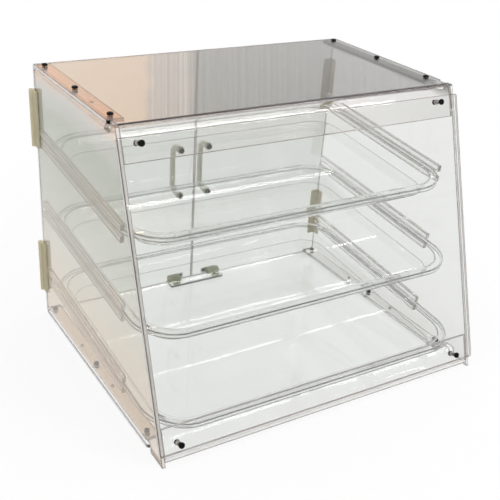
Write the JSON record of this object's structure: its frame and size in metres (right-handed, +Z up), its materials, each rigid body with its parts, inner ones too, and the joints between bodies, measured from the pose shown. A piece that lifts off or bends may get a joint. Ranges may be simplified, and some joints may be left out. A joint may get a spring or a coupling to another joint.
{
  "type": "countertop bread display bin",
  "caption": "Clear countertop display bin with a slanted front, sloping trays held in side guides, and hinged rear doors with bow handles.",
  "frame": {"origin": "middle of the case's footprint on the underside of the base panel", "axes": "+Z up; -Y towards the slanted front; +Y towards the rear doors; +X to the right seen from the front"},
  "size_m": [0.546, 0.4699, 0.4155],
  "materials": {
    "clear_acrylic": "clear polished sheet",
    "clear_tray": "clear polished, thermoformed",
    "hinge_plastic": "satin, slightly yellowed",
    "handle_plastic": "satin off-white",
    "catch_plastic": "satin olive-cream",
    "magnet_ferrite": "matte ferrite",
    "strike_steel": "plated",
    "pin_steel": "bright",
    "nylon_spacer": "natural nylon",
    "black_fastener": "black"
  },
  "bodies": {
    "case": {"base_panel": "clear_acrylic", "bottom_nuts": "black_fastener", "bottom_screws": "black_fastener", "catch_bar": "clear_acrylic", "front_nuts": "black_fastener", "front_panel": "clear_acrylic", "front_screws": "black_fastener", "front_spacers": "nylon_spacer", "left_catch_housing": "catch_plastic", "left_catch_magnet": "magnet_ferrite", "left_catch_screw": "black_fastener", "left_lower_guide_over_rim": "clear_acrylic", "left_lower_guide_under_rim": "clear_acrylic", "left_lower_hinge_case_leaf": "hinge_plastic", "left_lower_hinge_pin": "pin_steel", "left_middle_guide_over_rim": "clear_acrylic", "left_middle_guide_under_rim": "clear_acrylic", "left_side_panel": "clear_acrylic", "left_upper_guide_over_rim": "clear_acrylic", "left_upper_guide_under_rim": "clear_acrylic", "left_upper_hinge_case_leaf": "hinge_plastic", "left_upper_hinge_pin": "pin_steel", "right_catch_housing": "catch_plastic", "right_catch_magnet": "magnet_ferrite", "right_catch_screw": "black_fastener", "right_lower_guide_over_rim": "clear_acrylic", "right_lower_guide_under_rim": "clear_acrylic", "right_lower_hinge_case_leaf": "hinge_plastic", "right_lower_hinge_pin": "pin_steel", "right_middle_guide_over_rim": "clear_acrylic", "right_middle_guide_under_rim": "clear_acrylic", "right_side_panel": "clear_acrylic", "right_upper_guide_over_rim": "clear_acrylic", "right_upper_guide_under_rim": "clear_acrylic", "right_upper_hinge_case_leaf": "hinge_plastic", "right_upper_hinge_pin": "pin_steel", "top_nuts": "black_fastener", "top_panel": "clear_acrylic", "top_screws": "black_fastener"},
    "door_left": {"left_door": "clear_acrylic", "left_door_handle": "handle_plastic", "left_handle_screws": "black_fastener", "left_lower_hinge_door_leaf": "hinge_plastic", "left_strike_plate": "strike_steel", "left_strike_screw": "black_fastener", "left_upper_hinge_door_leaf": "hinge_plastic"},
    "door_right": {"right_door": "clear_acrylic", "right_door_handle": "handle_plastic", "right_handle_screws": "black_fastener", "right_lower_hinge_door_leaf": "hinge_plastic", "right_strike_plate": "strike_steel", "right_strike_screw": "black_fastener", "right_upper_hinge_door_leaf": "hinge_plastic"},
    "tray_lower": {"lower_tray": "clear_tray"},
    "tray_middle": {"middle_tray": "clear_tray"},
    "tray_upper": {"upper_tray": "clear_tray"}
  },
  "joints": [
    {"name": "left_door_hinge", "type": "hinge", "parent": "case", "child": "door_left", "pos_m": [-0.2695, 0.2238, 0.2], "axis": [0, 0, 1], "range_deg": [0, 240]},
    {"name": "right_door_hinge", "type": "hinge", "parent": "case", "child": "door_right", "pos_m": [0.2695, 0.2238, 0.2], "axis": [0, 0, -1], "range_deg": [0, 240]},
    {"name": "lower_tray_slide", "type": "slide", "parent": "case", "child": "tray_lower", "axis": [0, 0.9958, 0.0915], "range_m": [0, 0.008]},
    {"name": "middle_tray_slide", "type": "slide", "parent": "case", "child": "tray_middle", "axis": [0, 0.9958, 0.0915], "range_m": [0, 0.008]},
    {"name": "upper_tray_slide", "type": "slide", "parent": "case", "child": "tray_upper", "axis": [0, 0.9958, 0.0915], "range_m": [0, 0.008]}
  ]
}
